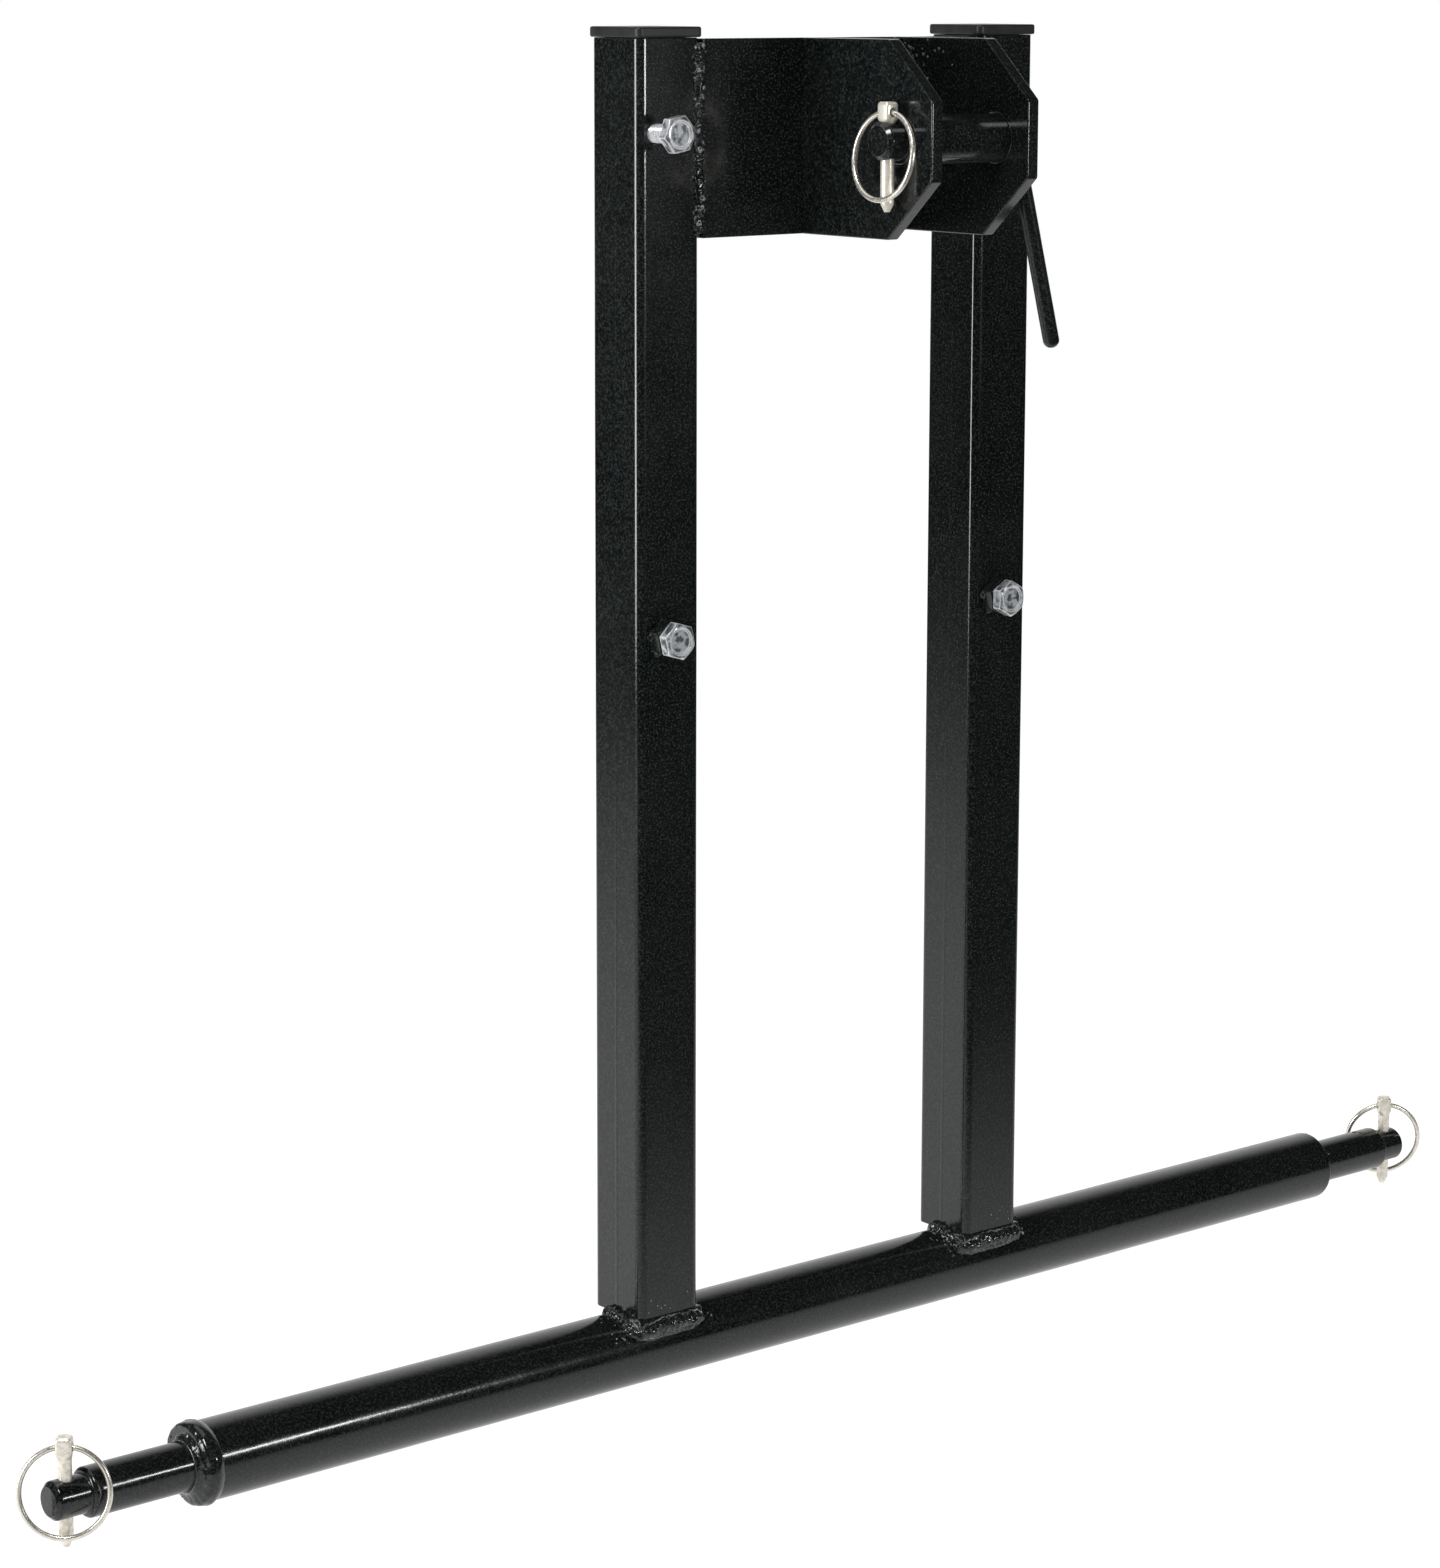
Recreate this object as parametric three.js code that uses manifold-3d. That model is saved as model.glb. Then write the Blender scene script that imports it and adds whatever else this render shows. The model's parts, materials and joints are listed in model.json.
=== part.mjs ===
// Tractor three-point hitch frame: a cross tube with a hitch pin at each end, two upright tubes,
// a top-link bracket between them, four clamp bolts and three ring lynch pins.
// Millimetres. X runs along the cross tube, -Y is the bracket side, +Z is up.
// The origin is the middle of the cross tube's axis.
import * as THREE from "three";
import { mergeVertices } from "three/addons/utils/BufferGeometryUtils.js";
import Module from "manifold-3d";

const wasm = await Module();
wasm.setup();

// Cross tube and hitch pins
const HITCH_SPREAD = 508;
const TUBE_OD = 25.4;
const PIN_D = 15.9;
const PIN_LENGTH = 38.1;
const PIN_INSERT = 40;
const PIN_TIP_D = 12.4;
const PIN_TIP_LENGTH = 12;
const TUBE_BORE = PIN_D + 0.2;
const TUBE_END = HITCH_SPREAD / 2;

// Upright tubes and their caps
const UPRIGHT_SPACING = 147.2;
const UPRIGHT_SIZE = 25.4;
const UPRIGHT_WALL = 3;
const UPRIGHT_CORNER = 3;
const UPRIGHT_TOP = 437.4;
const CAP_THICKNESS = 3.4;
const CAP_OVERHANG = 0.6;
const CAP_PLUG = 14;
const UPRIGHT_BOTTOM = TUBE_OD / 2 + 0.1;

// Top-link bracket
const PLATE_THICKNESS = 4.76;
const BRACKET_HEIGHT = 64;
const BRACKET_TOP = UPRIGHT_TOP - 0.3;
const EAR_REACH = 63.5;
const EAR_GAP = 37;
const EAR_CENTRE_X = 5.1;
const EAR_CHAMFER_RUN = 21;
const EAR_CHAMFER_DROP = 19.4;
const TOP_PIN_SETBACK = 16;

// Top-link pin and its handle
const TOP_PIN_D = 15.9;
const TOP_PIN_TIP_D = 12.4;
const TOP_PIN_STUB = 8.8;
const TOP_PIN_HEAD = 1.5;
const LYNCH_SETBACK = 4.6;
const HANDLE_D = 5.5;
const HANDLE_BEND = 3.4;
const HANDLE_LENGTH = 70;
const HANDLE_SPLAY_DEG = 15;

// Clamp bolts: the upper pair is placed by its drop below the uprights' tops
const BOLT_D = 6.2;
const BOLT_LENGTH = 25.4;
const BOLT_HEAD_AF = 11.1;
const BOLT_HEAD_THICKNESS = 4;
const NUT_THICKNESS = 5.4;
const MID_BOLT_Z = 243.8;
const MID_BOLT_OFFSET = -3;
const UPPER_BOLT_DROP = 30.1;
const UPPER_BOLT_OFFSET_L = -6;
const UPPER_BOLT_OFFSET_R = -4.5;
const UPPER_BOLT_STANDOFF = 9.3;

// Lynch pins: heights are measured from the middle of the stub a lower lynch pin passes through
const LYNCH_D = 4.4;
const LYNCH_HEAD_D = 5.8;
const LYNCH_TOP = 19.5;
const LYNCH_NECK = 14;
const LYNCH_FLARE = 0.7;
const LYNCH_TIP = -15.5;
const RING_PIVOT = 16.2;
const RING_RADIUS = 14;
const RING_WIRE_D = 1.8;
const RING_LEAN_DEG = 7.4;
const LOWER_RING_YAW_DEG = -39;
const TOP_RING_YAW_DEG = -90;

const ROUND = 48;
const HOLE_GAP = 0.3;
const SEAT_GAP = 0.15;

const FRONT = -UPRIGHT_SIZE / 2;
const BACK = UPRIGHT_SIZE / 2;
const UPPER_BOLT_Z = UPRIGHT_TOP - UPPER_BOLT_DROP;
const EAR_FRONT = FRONT - EAR_REACH;
const BRACKET_BOTTOM = BRACKET_TOP - BRACKET_HEIGHT;
const TOP_PIN_Y = EAR_FRONT + TOP_PIN_SETBACK;
const TOP_PIN_Z = (BRACKET_TOP + BRACKET_BOTTOM) / 2;
const TOP_LYNCH_Z = TOP_PIN_Z + TOP_PIN_TIP_D / 2 + LYNCH_FLARE - LYNCH_NECK;
const EAR_INNER_L = EAR_CENTRE_X - EAR_GAP / 2;
const EAR_INNER_R = EAR_CENTRE_X + EAR_GAP / 2;
const EAR_OUTER_L = EAR_INNER_L - PLATE_THICKNESS;
const EAR_OUTER_R = EAR_INNER_R + PLATE_THICKNESS;

const group = new THREE.Group();
group.name = "hitch_frame";

const LOOKS = {
  black: { color: 0x16181a, metalness: 0.2, roughness: 0.42 },
  cap: { color: 0x141516, metalness: 0.0, roughness: 0.5 },
  weld: { color: 0x1b1d1f, metalness: 0.3, roughness: 0.32 },
  zinc: { color: 0xc9ccd0, metalness: 0.95, roughness: 0.3 },
  pale: { color: 0xd6d0bd, metalness: 0.9, roughness: 0.34 },
};

function add(name, solid, look) {
  const out = solid.getMesh();
  const geometry = new THREE.BufferGeometry();
  const count = out.numProp;
  const positions = new Float32Array(out.numVert * 3);
  for (let i = 0; i < out.numVert; i++) {
    positions.set(out.vertProperties.subarray(i * count, i * count + 3), i * 3);
  }
  geometry.setAttribute("position", new THREE.BufferAttribute(positions, 3));
  geometry.setIndex(new THREE.BufferAttribute(new Uint32Array(out.triVerts), 1));
  const shaded = geometry.toNonIndexed();
  shaded.computeVertexNormals();
  const mesh = new THREE.Mesh(shaded, new THREE.MeshStandardMaterial(LOOKS[look]));
  mesh.name = name;
  group.add(mesh);
}

// A closed three.js geometry as a manifold solid
function solidOf(geometry) {
  const bare = geometry.clone();
  bare.deleteAttribute("normal");
  bare.deleteAttribute("uv");
  const merged = mergeVertices(bare, 1e-4);
  const mesh = new wasm.Mesh({
    numProp: 3,
    vertProperties: new Float32Array(merged.attributes.position.array),
    triVerts: new Uint32Array(merged.index.array),
  });
  return new wasm.Manifold(mesh);
}

const X = new THREE.Vector3(1, 0, 0);
const Y = new THREE.Vector3(0, 1, 0);
const Z = new THREE.Vector3(0, 0, 1);
const MINUS_Y = new THREE.Vector3(0, -1, 0);

function outline(points) {
  return new THREE.Shape(points.map(([u, v]) => new THREE.Vector2(u, v)));
}

function extruded(shape, depth) {
  return new THREE.ExtrudeGeometry(shape, { depth, bevelEnabled: false, curveSegments: 6 });
}

// Outline in (y, z), running from x0 to x1
function prismX(shape, x0, x1) {
  const frame = new THREE.Matrix4().makeBasis(Y, Z, X).setPosition(x0, 0, 0);
  return solidOf(extruded(shape, x1 - x0).applyMatrix4(frame));
}

// Outline in (x, z), running from y0 to y1
function prismY(shape, y0, y1) {
  const frame = new THREE.Matrix4().makeBasis(X, Z, MINUS_Y).setPosition(0, y1, 0);
  return solidOf(extruded(shape, y1 - y0).applyMatrix4(frame));
}

// Outline in (x, y), running from z0 to z1
function prismZ(shape, z0, z1) {
  return solidOf(extruded(shape, z1 - z0).translate(0, 0, z0));
}

// A closed or axis-to-axis profile of [radius, height] turned about +Z
function turnedZ(profile, sides = ROUND) {
  const points = profile.map(([r, h]) => new THREE.Vector2(r, h));
  return solidOf(new THREE.LatheGeometry(points, sides).rotateX(Math.PI / 2));
}

function turnedX(profile, sides = ROUND) {
  const points = profile.map(([r, h]) => new THREE.Vector2(r, h));
  return solidOf(new THREE.LatheGeometry(points, sides).rotateZ(-Math.PI / 2));
}

function turnedY(profile, sides = ROUND) {
  const points = profile.map(([r, h]) => new THREE.Vector2(r, h));
  return solidOf(new THREE.LatheGeometry(points, sides));
}

function rod(radius, from, to) {
  return [
    [0, from],
    [radius, from],
    [radius, to],
    [0, to],
  ];
}

function box(x0, x1, y0, y1, z0, z1) {
  return prismZ(outline([[x0, y0], [x1, y0], [x1, y1], [x0, y1]]), z0, z1);
}

function roundedSquare(cx, cy, size, corner) {
  const h = size / 2;
  const s = new THREE.Shape();
  s.moveTo(cx - h + corner, cy - h);
  s.lineTo(cx + h - corner, cy - h);
  s.absarc(cx + h - corner, cy - h + corner, corner, -Math.PI / 2, 0, false);
  s.lineTo(cx + h, cy + h - corner);
  s.absarc(cx + h - corner, cy + h - corner, corner, 0, Math.PI / 2, false);
  s.lineTo(cx - h + corner, cy + h);
  s.absarc(cx - h + corner, cy + h - corner, corner, Math.PI / 2, Math.PI, false);
  s.lineTo(cx - h, cy - h + corner);
  s.absarc(cx - h + corner, cy - h + corner, corner, Math.PI, 1.5 * Math.PI, false);
  return s;
}

function hexagon(cx, cz, acrossFlats, turnDeg) {
  const r = acrossFlats / Math.sqrt(3);
  const points = [];
  for (let i = 0; i < 6; i++) {
    const a = THREE.MathUtils.degToRad(turnDeg + 60 * i);
    points.push([cx + r * Math.sin(a), cz + r * Math.cos(a)]);
  }
  return outline(points);
}

// Cross tube
const crossTube = turnedX([
  [TUBE_BORE / 2, -TUBE_END],
  [TUBE_OD / 2, -TUBE_END],
  [TUBE_OD / 2, TUBE_END],
  [TUBE_BORE / 2, TUBE_END],
  [TUBE_BORE / 2, -TUBE_END],
]);
add("cross_tube", crossTube, "black");

// A stepped hitch pin standing out of one end of the cross tube
function hitchPin(side) {
  const r = PIN_D / 2;
  const t = PIN_TIP_D / 2;
  const step = TUBE_END + PIN_LENGTH;
  const tip = step + PIN_TIP_LENGTH;
  const profile = [
    [0, TUBE_END - PIN_INSERT],
    [r, TUBE_END - PIN_INSERT],
    [r, step - 0.8],
    [r - 0.8, step],
    [t, step],
    [t, tip - 1.4],
    [t - 1.4, tip],
    [0, tip],
  ];
  const body = turnedX(profile);
  const hole = turnedZ(rod(LYNCH_D / 2 + HOLE_GAP, -r - 1, r + 1), 24).translate([lynchX(1), 0, 0]);
  const pin = body.subtract(hole);
  return side > 0 ? pin : pin.mirror([1, 0, 0]);
}

function lynchX(side) {
  return side * (TUBE_END + PIN_LENGTH + PIN_TIP_LENGTH / 2);
}

// The weld round the root of a hitch pin; a wrapped one also covers the tube's rim
function pinWeld(side, wrap) {
  const root = PIN_D / 2 + SEAT_GAP;
  const rim = TUBE_OD / 2 + SEAT_GAP;
  const face = TUBE_END + SEAT_GAP;
  const toe = [
    [root, face],
    [root, face + 3.2],
    [root + 0.7, face + 2.5],
    [root + 1.5, face + 1.7],
    [root + 2.6, face + 1.3],
  ];
  const edge = wrap
    ? [
        [rim - 0.6, face + 1.0],
        [rim + 0.5, face + 0.3],
        [rim + 0.95, face - 1.3],
        [rim + 0.95, face - 3.2],
        [rim + 0.5, face - 4.6],
        [rim, face - 5.2],
        [rim, face],
      ]
    : [
        [rim - 1.2, face + 0.7],
        [rim - 0.8, face],
      ];
  const profile = [...toe, ...edge, [root, face]].reverse();
  const ring = turnedX(profile);
  return side > 0 ? ring : ring.mirror([1, 0, 0]);
}

for (const [word, side] of [["left", -1], ["right", 1]]) {
  add(word + "_hitch_pin", hitchPin(side), "black");
  add(word + "_pin_weld", pinWeld(side, side < 0), "weld");
}

function midBoltX(side) {
  return side * UPRIGHT_SPACING / 2 + MID_BOLT_OFFSET;
}

function upperBoltX(side) {
  return side * UPRIGHT_SPACING / 2 + (side < 0 ? UPPER_BOLT_OFFSET_L : UPPER_BOLT_OFFSET_R);
}

// A drilled square tube standing on the cross tube
function upright(side) {
  const cx = side * UPRIGHT_SPACING / 2;
  const shape = roundedSquare(cx, 0, UPRIGHT_SIZE, UPRIGHT_CORNER);
  shape.holes.push(roundedSquare(cx, 0, UPRIGHT_SIZE - 2 * UPRIGHT_WALL, 0.8));
  let tube = prismZ(shape, UPRIGHT_BOTTOM, UPRIGHT_TOP);
  const bore = rod(BOLT_D / 2 + HOLE_GAP, FRONT - 1, FRONT + UPRIGHT_WALL + 1);
  for (const [x, z] of [[midBoltX(side), MID_BOLT_Z], [upperBoltX(side), UPPER_BOLT_Z]]) {
    tube = tube.subtract(turnedY(bore, 24).translate([x, 0, z]));
  }
  return tube;
}

// A push-in end cap: a thin square plate with a plug inside the tube
function cap(side) {
  const cx = side * UPRIGHT_SPACING / 2;
  const size = UPRIGHT_SIZE + 2 * CAP_OVERHANG;
  const under = UPRIGHT_TOP + 0.1;
  const lid = prismZ(roundedSquare(cx, 0, size, 1.6), under, under + CAP_THICKNESS);
  const plugSize = UPRIGHT_SIZE - 2 * UPRIGHT_WALL - 0.5;
  const plug = prismZ(roundedSquare(cx, 0, plugSize, 1), under - CAP_PLUG, under + 1);
  const hollow = prismZ(roundedSquare(cx, 0, plugSize - 4, 1), under - CAP_PLUG - 1, under - 0.5);
  return lid.add(plug).subtract(hollow);
}

// The weld at an upright's foot: a wedge under its front edge and a fillet up each side
function footWeld(side) {
  const cx = side * UPRIGHT_SPACING / 2;
  const r = TUBE_OD / 2 + SEAT_GAP;
  const under = UPRIGHT_BOTTOM - SEAT_GAP;
  const face = FRONT - SEAT_GAP;
  const wedge = [];
  for (let deg = 14; deg <= 62; deg += 8) {
    const a = THREE.MathUtils.degToRad(deg);
    wedge.push([-r * Math.sin(a), r * Math.cos(a)]);
  }
  wedge.push([face - 0.2, 7.2]);
  wedge.push([face - 1.2, 9.6]);
  wedge.push([face - 1.4, 12.4]);
  wedge.push([face - 0.8, 14.4]);
  wedge.push([face, 15.2]);
  wedge.push([face, under]);
  wedge.push([-r * Math.sin(THREE.MathUtils.degToRad(14)), under]);
  const reach = UPRIGHT_SIZE / 2 + 1.6;
  let weld = prismX(outline(wedge.reverse()), cx - reach, cx + reach);
  const inner = UPRIGHT_SIZE / 2 + SEAT_GAP;
  for (const hand of [-1, 1]) {
    const fillet = turnedX([
      [r, inner],
      [r + 3.8, inner],
      [r + 2.6, inner + 1.9],
      [r + 1.3, inner + 3.0],
      [r, inner + 3.6],
      [r, inner],
    ]);
    const kept = (hand > 0 ? fillet : fillet.mirror([1, 0, 0])).translate([cx, 0, 0]);
    weld = weld.add(kept.intersect(box(cx - 40, cx + 40, -14, 7, 6.2, 40)));
  }
  return weld;
}

for (const [word, side] of [["left", -1], ["right", 1]]) {
  add(word + "_upright", upright(side), "black");
  add(word + "_cap", cap(side), "cap");
  add(word + "_foot_weld", footWeld(side), "weld");
}

// Cross plate between the uprights, flush with their front faces
const plateEnd = UPRIGHT_SPACING / 2 - UPRIGHT_SIZE / 2 - 0.8;
const plate = box(-plateEnd, plateEnd, FRONT, FRONT + PLATE_THICKNESS, BRACKET_BOTTOM, BRACKET_TOP);
add("cross_plate", plate, "black");

// One ear of the bracket, with its front corners cut off and a hole for the top-link pin
function ear(x0) {
  const back = FRONT - SEAT_GAP;
  const shape = outline([
    [back, BRACKET_BOTTOM],
    [back, BRACKET_TOP],
    [EAR_FRONT + EAR_CHAMFER_RUN, BRACKET_TOP],
    [EAR_FRONT, BRACKET_TOP - EAR_CHAMFER_DROP],
    [EAR_FRONT, BRACKET_BOTTOM + EAR_CHAMFER_DROP],
    [EAR_FRONT + EAR_CHAMFER_RUN, BRACKET_BOTTOM],
  ].reverse());
  const hole = new THREE.Path();
  hole.absellipse(TOP_PIN_Y, TOP_PIN_Z, TOP_PIN_D / 2 + HOLE_GAP, TOP_PIN_D / 2 + HOLE_GAP, 0, 2 * Math.PI);
  shape.holes.push(hole);
  const plateShape = new THREE.ExtrudeGeometry(shape, {
    depth: PLATE_THICKNESS,
    bevelEnabled: false,
    curveSegments: ROUND,
  });
  return solidOf(plateShape.applyMatrix4(new THREE.Matrix4().makeBasis(Y, Z, X).setPosition(x0, 0, 0)));
}
add("left_ear", ear(EAR_OUTER_L), "black");
add("right_ear", ear(EAR_INNER_R), "black");

// Upright fillets inside the bracket, where each ear meets the cross plate
function earWeld(x, hand) {
  const face = FRONT - SEAT_GAP;
  const wall = x + hand * SEAT_GAP;
  const points = [
    [wall, face],
    [wall + hand * 3.8, face],
    [wall + hand * 2.4, face - 1.2],
    [wall + hand * 1.2, face - 2.4],
    [wall, face - 3.8],
  ];
  const ordered = hand > 0 ? points.reverse() : points;
  return prismZ(outline(ordered), BRACKET_BOTTOM + 2, BRACKET_TOP - 1);
}
add("left_ear_weld", earWeld(EAR_INNER_L, 1), "weld");
add("right_ear_weld", earWeld(EAR_INNER_R, -1), "weld");

// The bead that fills the groove between a plate end and an upright's rounded corner
function bracketWeld(side) {
  const cx = UPRIGHT_SPACING / 2 - UPRIGHT_SIZE / 2 + UPRIGHT_CORNER;
  const cy = FRONT + UPRIGHT_CORNER;
  const r = UPRIGHT_CORNER + SEAT_GAP;
  const face = FRONT - SEAT_GAP;
  const end = plateEnd + SEAT_GAP;
  const points = [];
  for (let deg = 0; deg <= 75; deg += 15) {
    const a = THREE.MathUtils.degToRad(deg);
    points.push([cx - r * Math.sin(a), cy - r * Math.cos(a)]);
  }
  points.push([end, cy - 0.8]);
  points.push([end, face]);
  points.push([end - 1.5, face]);
  points.push([end - 0.9, face - 0.7]);
  points.push([end + 0.5, face - 1.2]);
  points.push([cx - 1.2, face - 1.1]);
  points.push([cx + 0.4, face - 0.5]);
  points.push([cx + 0.9, face]);
  const bead = prismZ(outline(points.reverse()), BRACKET_BOTTOM + 1, BRACKET_TOP - 0.5);
  return side > 0 ? bead : bead.mirror([1, 0, 0]);
}
add("left_bracket_weld", bracketWeld(-1), "weld");
add("right_bracket_weld", bracketWeld(1), "weld");

// Hexagon-head bolt whose head sits standoff in front of the upright
function bolt(cx, cz, standoff, turnDeg) {
  const under = FRONT - standoff;
  const outer = under - BOLT_HEAD_THICKNESS;
  const corner = BOLT_HEAD_AF / Math.sqrt(3);
  const hex = prismY(hexagon(0, 0, BOLT_HEAD_AF, turnDeg), outer, under);
  const crown = turnedY([
    [0, outer],
    [BOLT_HEAD_AF / 2 - 0.3, outer],
    [corner + 0.3, outer + 0.8],
    [corner + 0.3, under],
    [0, under],
  ]);
  const tip = under + BOLT_LENGTH;
  const shank = turnedY([
    [0, under - 1],
    [BOLT_D / 2, under - 1],
    [BOLT_D / 2, tip - 1],
    [BOLT_D / 2 - 1, tip],
    [0, tip],
  ]);
  return hex.intersect(crown).add(shank).translate([cx, 0, cz]);
}

function weldNut(cx, cz, turnDeg) {
  const near = FRONT - SEAT_GAP;
  const shape = hexagon(cx, cz, BOLT_HEAD_AF, turnDeg);
  const bore = rod(BOLT_D / 2 + HOLE_GAP, near - NUT_THICKNESS - 1, near + 1);
  return prismY(shape, near - NUT_THICKNESS, near).subtract(turnedY(bore, 24).translate([cx, 0, cz]));
}

for (const [word, side] of [["left", -1], ["right", 1]]) {
  const midX = midBoltX(side);
  const upperX = upperBoltX(side);
  add(word + "_mid_nut", weldNut(midX, MID_BOLT_Z, 22), "black");
  add(word + "_mid_bolt", bolt(midX, MID_BOLT_Z, NUT_THICKNESS + SEAT_GAP + 0.2, side < 0 ? -8 : 12), "zinc");
  add(word + "_upper_bolt", bolt(upperX, UPPER_BOLT_Z, UPPER_BOLT_STANDOFF, 17), "zinc");
}

// Top-link pin through both ears, with a reduced drilled stub on the left
function topPin() {
  const r = TOP_PIN_D / 2;
  const t = TOP_PIN_TIP_D / 2;
  const step = EAR_OUTER_L - 0.6;
  const tip = EAR_OUTER_L - TOP_PIN_STUB;
  const head = EAR_OUTER_R + TOP_PIN_HEAD;
  const body = turnedX([
    [0, tip],
    [t - 1.2, tip],
    [t, tip + 1.2],
    [t, step],
    [r - 0.6, step],
    [r, step + 0.6],
    [r, head - 0.6],
    [r - 0.6, head],
    [0, head],
  ]);
  const cross = turnedZ(rod(LYNCH_D / 2 + HOLE_GAP, -r - 1, r + 1), 24);
  const socket = turnedX(rod(HANDLE_D / 2 + HOLE_GAP, head - 8, head + 1), 24);
  return body
    .subtract(cross.translate([EAR_OUTER_L - LYNCH_SETBACK, 0, 0]))
    .subtract(socket)
    .translate([0, TOP_PIN_Y, TOP_PIN_Z]);
}
add("top_link_pin", topPin(), "black");

// The handle: a round rod set in the pin's right end, bent down and splayed outwards
function handle() {
  const head = EAR_OUTER_R + TOP_PIN_HEAD;
  const bendDeg = 90 - HANDLE_SPLAY_DEG;
  const bend = THREE.MathUtils.degToRad(bendDeg);
  const path = new THREE.CurvePath();
  const start = new THREE.Vector3(head - 7.5, 0, 0);
  const turn = new THREE.Vector3(head + 0.2, 0, 0);
  path.add(new THREE.LineCurve3(start, turn));
  let last = turn;
  const steps = 8;
  for (let i = 1; i <= steps; i++) {
    const a = bend * i / steps;
    const next = new THREE.Vector3(
      turn.x + HANDLE_BEND * Math.sin(a),
      0,
      -HANDLE_BEND + HANDLE_BEND * Math.cos(a),
    );
    path.add(new THREE.LineCurve3(last, next));
    last = next;
  }
  const down = new THREE.Vector3(Math.cos(bend), 0, -Math.sin(bend));
  const end = last.clone().addScaledVector(down, HANDLE_LENGTH - HANDLE_D / 2);
  path.add(new THREE.LineCurve3(last, end));
  const circle = new THREE.Shape();
  circle.absarc(0, 0, HANDLE_D / 2, 0, 2 * Math.PI, false);
  const shaft = new THREE.ExtrudeGeometry(circle, { steps: 60, curveSegments: 12, extrudePath: path });
  const ball = new THREE.SphereGeometry(HANDLE_D / 2, 24, 12).translate(end.x, end.y, end.z);
  return solidOf(shaft).add(solidOf(ball)).translate([0, TOP_PIN_Y, TOP_PIN_Z]);
}
add("top_link_handle", handle(), "black");

// Lynch pin standing in a cross hole at (x, y, z); yawDeg turns its ring's pivot line
function lynchPin(x, y, z, yawDeg) {
  const r = LYNCH_D / 2;
  const h = LYNCH_HEAD_D / 2;
  const body = turnedZ([
    [0, LYNCH_TIP],
    [0.9, LYNCH_TIP],
    [r, LYNCH_TIP + 2.6],
    [r, LYNCH_NECK - LYNCH_FLARE],
    [h, LYNCH_NECK],
    [h, LYNCH_TOP - 0.5],
    [h - 0.5, LYNCH_TOP],
    [0, LYNCH_TOP],
  ], 32);
  const eye = turnedX(rod(RING_WIRE_D / 2 + 0.6, -h - 1, h + 1), 24).translate([0, 0, RING_PIVOT]);
  return body.subtract(eye).rotate([0, 0, yawDeg]).translate([x, y, z]);
}

// The ring hangs from the lynch pin's eye and leans to the outer side of its shank
function lynchRing(x, y, z, yawDeg, hand) {
  const torus = new THREE.TorusGeometry(RING_RADIUS, RING_WIRE_D / 2, 10, 48);
  torus.rotateX(Math.PI / 2);
  torus.translate(0, 0, -RING_RADIUS);
  torus.rotateX(THREE.MathUtils.degToRad(hand * RING_LEAN_DEG));
  torus.translate(0, 0, RING_PIVOT);
  return solidOf(torus).rotate([0, 0, yawDeg]).translate([x, y, z]);
}

add("left_lynch_pin", lynchPin(lynchX(-1), 0, 0, LOWER_RING_YAW_DEG), "pale");
add("left_lynch_ring", lynchRing(lynchX(-1), 0, 0, LOWER_RING_YAW_DEG, -1), "pale");
add("right_lynch_pin", lynchPin(lynchX(1), 0, 0, LOWER_RING_YAW_DEG), "pale");
add("right_lynch_ring", lynchRing(lynchX(1), 0, 0, LOWER_RING_YAW_DEG, 1), "pale");
// The top one is pushed home, with its head on the stub of the top-link pin
const topLynchX = EAR_OUTER_L - LYNCH_SETBACK;
add("top_lynch_pin", lynchPin(topLynchX, TOP_PIN_Y, TOP_LYNCH_Z, TOP_RING_YAW_DEG), "pale");
add("top_lynch_ring", lynchRing(topLynchX, TOP_PIN_Y, TOP_LYNCH_Z, TOP_RING_YAW_DEG, -1), "pale");

export default group;
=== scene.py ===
"""Looks for a tractor three-point hitch frame: black painted steel, plastic caps and zinc hardware.

Lengths inside the shape functions are in millimetres, in the frame of the CAD model, and a shape
becomes metres when it is made into an object.
"""
import json
import math
import random

import bmesh
import bpy
from mathutils import Matrix, Vector, noise

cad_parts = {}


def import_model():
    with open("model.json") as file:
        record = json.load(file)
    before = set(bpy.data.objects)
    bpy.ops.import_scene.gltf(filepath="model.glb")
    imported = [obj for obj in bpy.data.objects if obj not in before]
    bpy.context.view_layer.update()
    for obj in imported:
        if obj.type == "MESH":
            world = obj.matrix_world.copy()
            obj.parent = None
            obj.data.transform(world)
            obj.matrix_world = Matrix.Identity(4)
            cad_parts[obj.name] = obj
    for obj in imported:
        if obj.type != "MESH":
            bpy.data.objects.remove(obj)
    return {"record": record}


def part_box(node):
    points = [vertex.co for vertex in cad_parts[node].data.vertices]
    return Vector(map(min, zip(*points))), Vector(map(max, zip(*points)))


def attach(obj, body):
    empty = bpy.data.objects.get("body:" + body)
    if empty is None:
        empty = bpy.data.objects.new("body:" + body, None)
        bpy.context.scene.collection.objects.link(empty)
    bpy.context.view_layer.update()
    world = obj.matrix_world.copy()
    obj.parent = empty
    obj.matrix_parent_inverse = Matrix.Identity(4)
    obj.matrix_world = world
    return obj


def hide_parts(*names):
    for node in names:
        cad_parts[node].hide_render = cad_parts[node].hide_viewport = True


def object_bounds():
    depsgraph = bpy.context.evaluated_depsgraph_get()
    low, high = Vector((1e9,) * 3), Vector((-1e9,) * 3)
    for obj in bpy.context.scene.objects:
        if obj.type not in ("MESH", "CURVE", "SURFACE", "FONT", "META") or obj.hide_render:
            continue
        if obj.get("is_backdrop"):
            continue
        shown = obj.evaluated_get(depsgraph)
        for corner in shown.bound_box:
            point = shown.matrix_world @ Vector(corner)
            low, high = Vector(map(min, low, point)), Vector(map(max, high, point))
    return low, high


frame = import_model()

cad_low, cad_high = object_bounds()
MM = 0.001

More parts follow.
